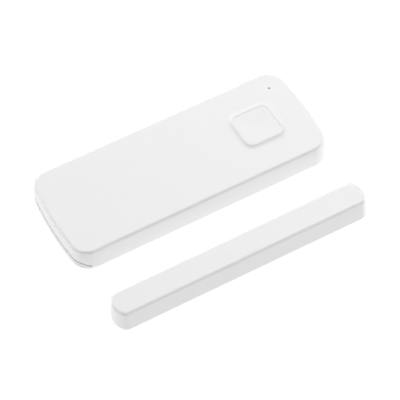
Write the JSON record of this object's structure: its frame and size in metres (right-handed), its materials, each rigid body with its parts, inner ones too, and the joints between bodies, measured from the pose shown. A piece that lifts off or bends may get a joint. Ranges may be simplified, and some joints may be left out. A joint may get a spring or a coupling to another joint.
{
  "type": "door contact sensor",
  "caption": "Flat white wireless contact sensor with a rounded square push button and a pinhole light, beside its slim bar magnet unit.",
  "frame": {"origin": "middle of the back face of the sensor unit's adhesive pad, on the wall or frame it is stuck to", "axes": "+Z out of the wall, +X along the sensor towards its button, the magnet unit on the -Y side"},
  "size_m": [0.0904, 0.0609, 0.0085],
  "materials": {
    "white_shell": "fine satin moulding",
    "white_inner": "plain moulding",
    "clear_pipe": "clear",
    "board_green": "solder mask",
    "cell_steel": "nickel plated",
    "contact_nickel": "nickel plated",
    "screw_steel": "zinc plated",
    "shield_steel": "tinned",
    "ceramic": "fired ceramic",
    "led_lens": "clear lens",
    "chip_black": "moulded chip",
    "capacitor_tan": "fired ceramic",
    "switch_black": "plain moulding",
    "plunger_brown": "plain moulding",
    "reed_glass": "green tinted",
    "foam_tape": "foam with a film face",
    "foam_grey": "foam",
    "magnet_nickel": "nickel plated"
  },
  "bodies": {
    "sensor_base": {"rear_plate": "white_inner", "sensor_adhesive_pad": "foam_tape", "circuit_board": "board_green", "board_screw_1": "screw_steel", "board_screw_2": "screw_steel", "board_screw_3": "screw_steel", "board_screw_4": "screw_steel", "cell_contact_negative": "contact_nickel", "cell_contact_positive": "contact_nickel", "tact_switch_body": "switch_black", "tamper_switch_body": "switch_black", "reed_glass": "reed_glass", "reed_lead_left": "contact_nickel", "reed_lead_right": "contact_nickel", "radio_module": "board_green", "shield_can": "shield_steel", "chip_antenna": "ceramic", "crystal": "shield_steel", "status_led": "led_lens", "regulator_chip": "chip_black", "capacitor_1": "capacitor_tan", "capacitor_2": "capacitor_tan", "capacitor_3": "capacitor_tan", "resistor_1": "chip_black", "resistor_2": "chip_black"},
    "cover": {"front_cover": "white_shell", "light_pipe": "clear_pipe"},
    "button": {"button_cap": "white_shell"},
    "push_plunger": {"tact_switch_plunger": "plunger_brown"},
    "tamper_plunger": {"tamper_switch_plunger": "plunger_brown"},
    "cell": {"coin_cell": "cell_steel"},
    "magnet_base": {"magnet_back_plate": "white_inner", "magnet_adhesive_pad": "foam_tape", "bar_magnet": "magnet_nickel", "magnet_foam": "foam_grey"},
    "magnet_cover": {"magnet_housing": "white_shell"}
  },
  "joints": [
    {"name": "cover_lift", "type": "slide", "parent": "sensor_base", "child": "cover", "axis": [0, 0, 1], "range_m": [0, 0.04]},
    {"name": "button_press", "type": "slide", "parent": "cover", "child": "button", "axis": [0, 0, -1], "range_m": [0, 0.0004], "stiffness_N_per_m": 300, "springref_m": -0.0005},
    {"name": "push_plunger_travel", "type": "slide", "parent": "sensor_base", "child": "push_plunger", "axis": [0, 0, -1], "range_m": [0, 0.0004]},
    {"name": "tamper_plunger_travel", "type": "slide", "parent": "sensor_base", "child": "tamper_plunger", "axis": [0, 0, 1], "range_m": [0, 0.0008]},
    {"name": "cell_lift", "type": "slide", "parent": "sensor_base", "child": "cell", "axis": [0, 0, 1], "range_m": [0, 0.02]},
    {"name": "door_slide", "type": "slide", "parent": "sensor_base", "child": "magnet_base", "axis": [0, -1, 0], "range_m": [-0.0128, 0.06]},
    {"name": "magnet_cover_lift", "type": "slide", "parent": "magnet_base", "child": "magnet_cover", "axis": [0, 0, 1], "range_m": [0, 0.02]}
  ],
  "couplings": [
    {"joint": "push_plunger_travel", "follows": "button_press", "ratio": 1},
    {"joint": "tamper_plunger_travel", "follows": "cover_lift", "ratio": 0.02},
    {"joint": "cell_lift", "follows": "cover_lift", "ratio": 0.5}
  ]
}
